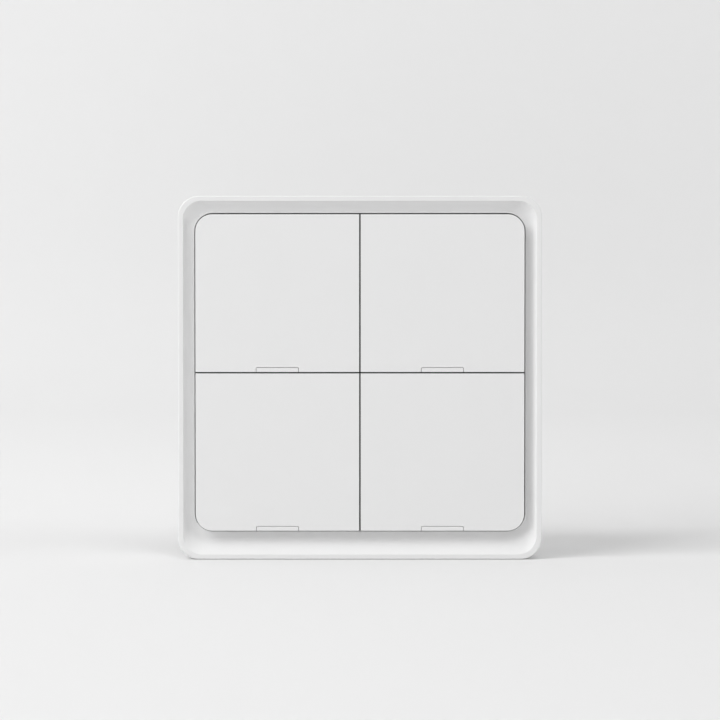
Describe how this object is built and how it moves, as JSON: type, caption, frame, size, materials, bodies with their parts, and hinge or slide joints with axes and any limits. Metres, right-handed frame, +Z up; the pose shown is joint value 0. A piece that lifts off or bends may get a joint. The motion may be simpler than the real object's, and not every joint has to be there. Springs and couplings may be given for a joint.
{
  "type": "smart light switch",
  "caption": "Square white wall-mounted smart light switch with large flat tilting keys, each with a slim light window, in a frame with a concave inner edge and a housing behind.",
  "frame": {"origin": "midpoint between the two fixing slots, on the wall plane behind the yoke", "axes": "+X to the right as the keys are seen, +Y into the wall, +Z up"},
  "size_m": [0.086, 0.035, 0.086],
  "materials": {
    "face_plastic": "fine matt white moulding",
    "light_guide_plastic": "matt milky white",
    "carrier_plastic": "matt dark grey",
    "circuit_board": "green solder mask",
    "yoke_steel": "zinc-plated pressed steel",
    "screw_steel": "zinc-plated",
    "shield_steel": "tin-plated",
    "housing_plastic": "matt white flame-retardant plastic",
    "terminal_plastic": "matt light grey",
    "terminal_brass": "bare brass",
    "switch_plastic": "matt black",
    "plunger_plastic": "matt off-white",
    "led_plastic": "clear with a yellow die",
    "connector_plastic": "matt black",
    "relay_plastic": "black moulded case",
    "transformer_core": "dark ferrite",
    "capacitor_can": "dark sleeve on an aluminium can",
    "fuse_plastic": "matt black",
    "varistor_ceramic": "blue coated disc"
  },
  "bodies": {
    "switch_body": {"face_frame": "face_plastic", "key_carrier": "carrier_plastic", "control_board": "circuit_board", "power_board": "circuit_board", "radio_board": "circuit_board", "mounting_yoke": "yoke_steel", "board_screws": "screw_steel", "power_board_screws": "screw_steel", "housing_screws": "screw_steel", "terminal_screws": "screw_steel", "radio_shield": "shield_steel", "rear_housing": "housing_plastic", "terminal_block": "terminal_plastic", "terminal_cages": "terminal_brass", "tact_switch_bodies": "switch_plastic", "status_leds": "led_plastic", "pin_header": "connector_plastic", "pin_socket": "connector_plastic", "control_chip": "connector_plastic", "relay_1": "relay_plastic", "relay_2": "relay_plastic", "relay_3": "relay_plastic", "relay_4": "relay_plastic", "isolation_transformer": "transformer_core", "bulk_capacitor": "capacitor_can", "fuse": "fuse_plastic", "varistor": "varistor_ceramic"},
    "key_top_left_body": {"key_top_left": "face_plastic", "light_guide_top_left": "light_guide_plastic"},
    "plunger_top_left_body": {"plunger_top_left": "plunger_plastic"},
    "key_top_right_body": {"key_top_right": "face_plastic", "light_guide_top_right": "light_guide_plastic"},
    "plunger_top_right_body": {"plunger_top_right": "plunger_plastic"},
    "key_bottom_left_body": {"key_bottom_left": "face_plastic", "light_guide_bottom_left": "light_guide_plastic"},
    "plunger_bottom_left_body": {"plunger_bottom_left": "plunger_plastic"},
    "key_bottom_right_body": {"key_bottom_right": "face_plastic", "light_guide_bottom_right": "light_guide_plastic"},
    "plunger_bottom_right_body": {"plunger_bottom_right": "plunger_plastic"}
  },
  "joints": [
    {"name": "top_left_key_tilt", "type": "hinge", "parent": "switch_body", "child": "key_top_left_body", "pos_m": [0, -0.0074, 0.03545], "axis": [1, 0, 0], "range_deg": [0, 1.2], "stiffness_Nm_per_rad": 0.5, "springref_deg": -2.86},
    {"name": "top_left_plunger_slide", "type": "slide", "parent": "switch_body", "child": "plunger_top_left_body", "axis": [0, 1, 0], "range_m": [0, 0.00026]},
    {"name": "top_right_key_tilt", "type": "hinge", "parent": "switch_body", "child": "key_top_right_body", "pos_m": [0, -0.0074, 0.03545], "axis": [1, 0, 0], "range_deg": [0, 1.2], "stiffness_Nm_per_rad": 0.5, "springref_deg": -2.86},
    {"name": "top_right_plunger_slide", "type": "slide", "parent": "switch_body", "child": "plunger_top_right_body", "axis": [0, 1, 0], "range_m": [0, 0.00026]},
    {"name": "bottom_left_key_tilt", "type": "hinge", "parent": "switch_body", "child": "key_bottom_left_body", "pos_m": [0, -0.0074, -0.00213], "axis": [1, 0, 0], "range_deg": [0, 1.2], "stiffness_Nm_per_rad": 0.5, "springref_deg": -2.86},
    {"name": "bottom_left_plunger_slide", "type": "slide", "parent": "switch_body", "child": "plunger_bottom_left_body", "axis": [0, 1, 0], "range_m": [0, 0.00026]},
    {"name": "bottom_right_key_tilt", "type": "hinge", "parent": "switch_body", "child": "key_bottom_right_body", "pos_m": [0, -0.0074, -0.00213], "axis": [1, 0, 0], "range_deg": [0, 1.2], "stiffness_Nm_per_rad": 0.5, "springref_deg": -2.86},
    {"name": "bottom_right_plunger_slide", "type": "slide", "parent": "switch_body", "child": "plunger_bottom_right_body", "axis": [0, 1, 0], "range_m": [0, 0.00026]}
  ],
  "couplings": [
    {"joint": "top_left_plunger_slide", "follows": "top_left_key_tilt", "m_per_rad": 0.011937},
    {"joint": "top_right_plunger_slide", "follows": "top_right_key_tilt", "m_per_rad": 0.011937},
    {"joint": "bottom_left_plunger_slide", "follows": "bottom_left_key_tilt", "m_per_rad": 0.011937},
    {"joint": "bottom_right_plunger_slide", "follows": "bottom_right_key_tilt", "m_per_rad": 0.011937}
  ]
}
